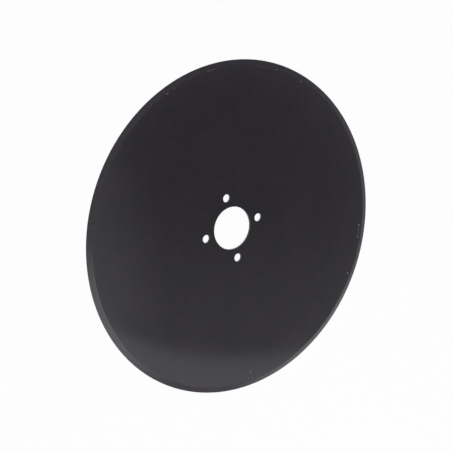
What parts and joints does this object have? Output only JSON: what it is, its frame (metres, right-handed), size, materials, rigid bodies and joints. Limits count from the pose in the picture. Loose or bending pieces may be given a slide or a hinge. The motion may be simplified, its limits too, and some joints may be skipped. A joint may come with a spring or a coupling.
{
  "type": "flat disc blade",
  "caption": "Flat round ground-cutting disc blade with a one-sided sharpened edge, a centre bore and a circle of bolt holes around it.",
  "frame": {"origin": "centre of the bore on the flat back face, which is the underside as the blade lies", "axes": "+Z along the bore's axis, out of the bevelled front face; +X through the centre of one bolt hole, +Y through the next"},
  "size_m": [0.4499, 0.45, 0.003],
  "materials": {
    "black_coating": "thin satin black protective coating over hardened steel, lightly chipped at the edge"
  },
  "bodies": {
    "root": {"disc_blade": "black_coating"}
  },
  "joints": []
}
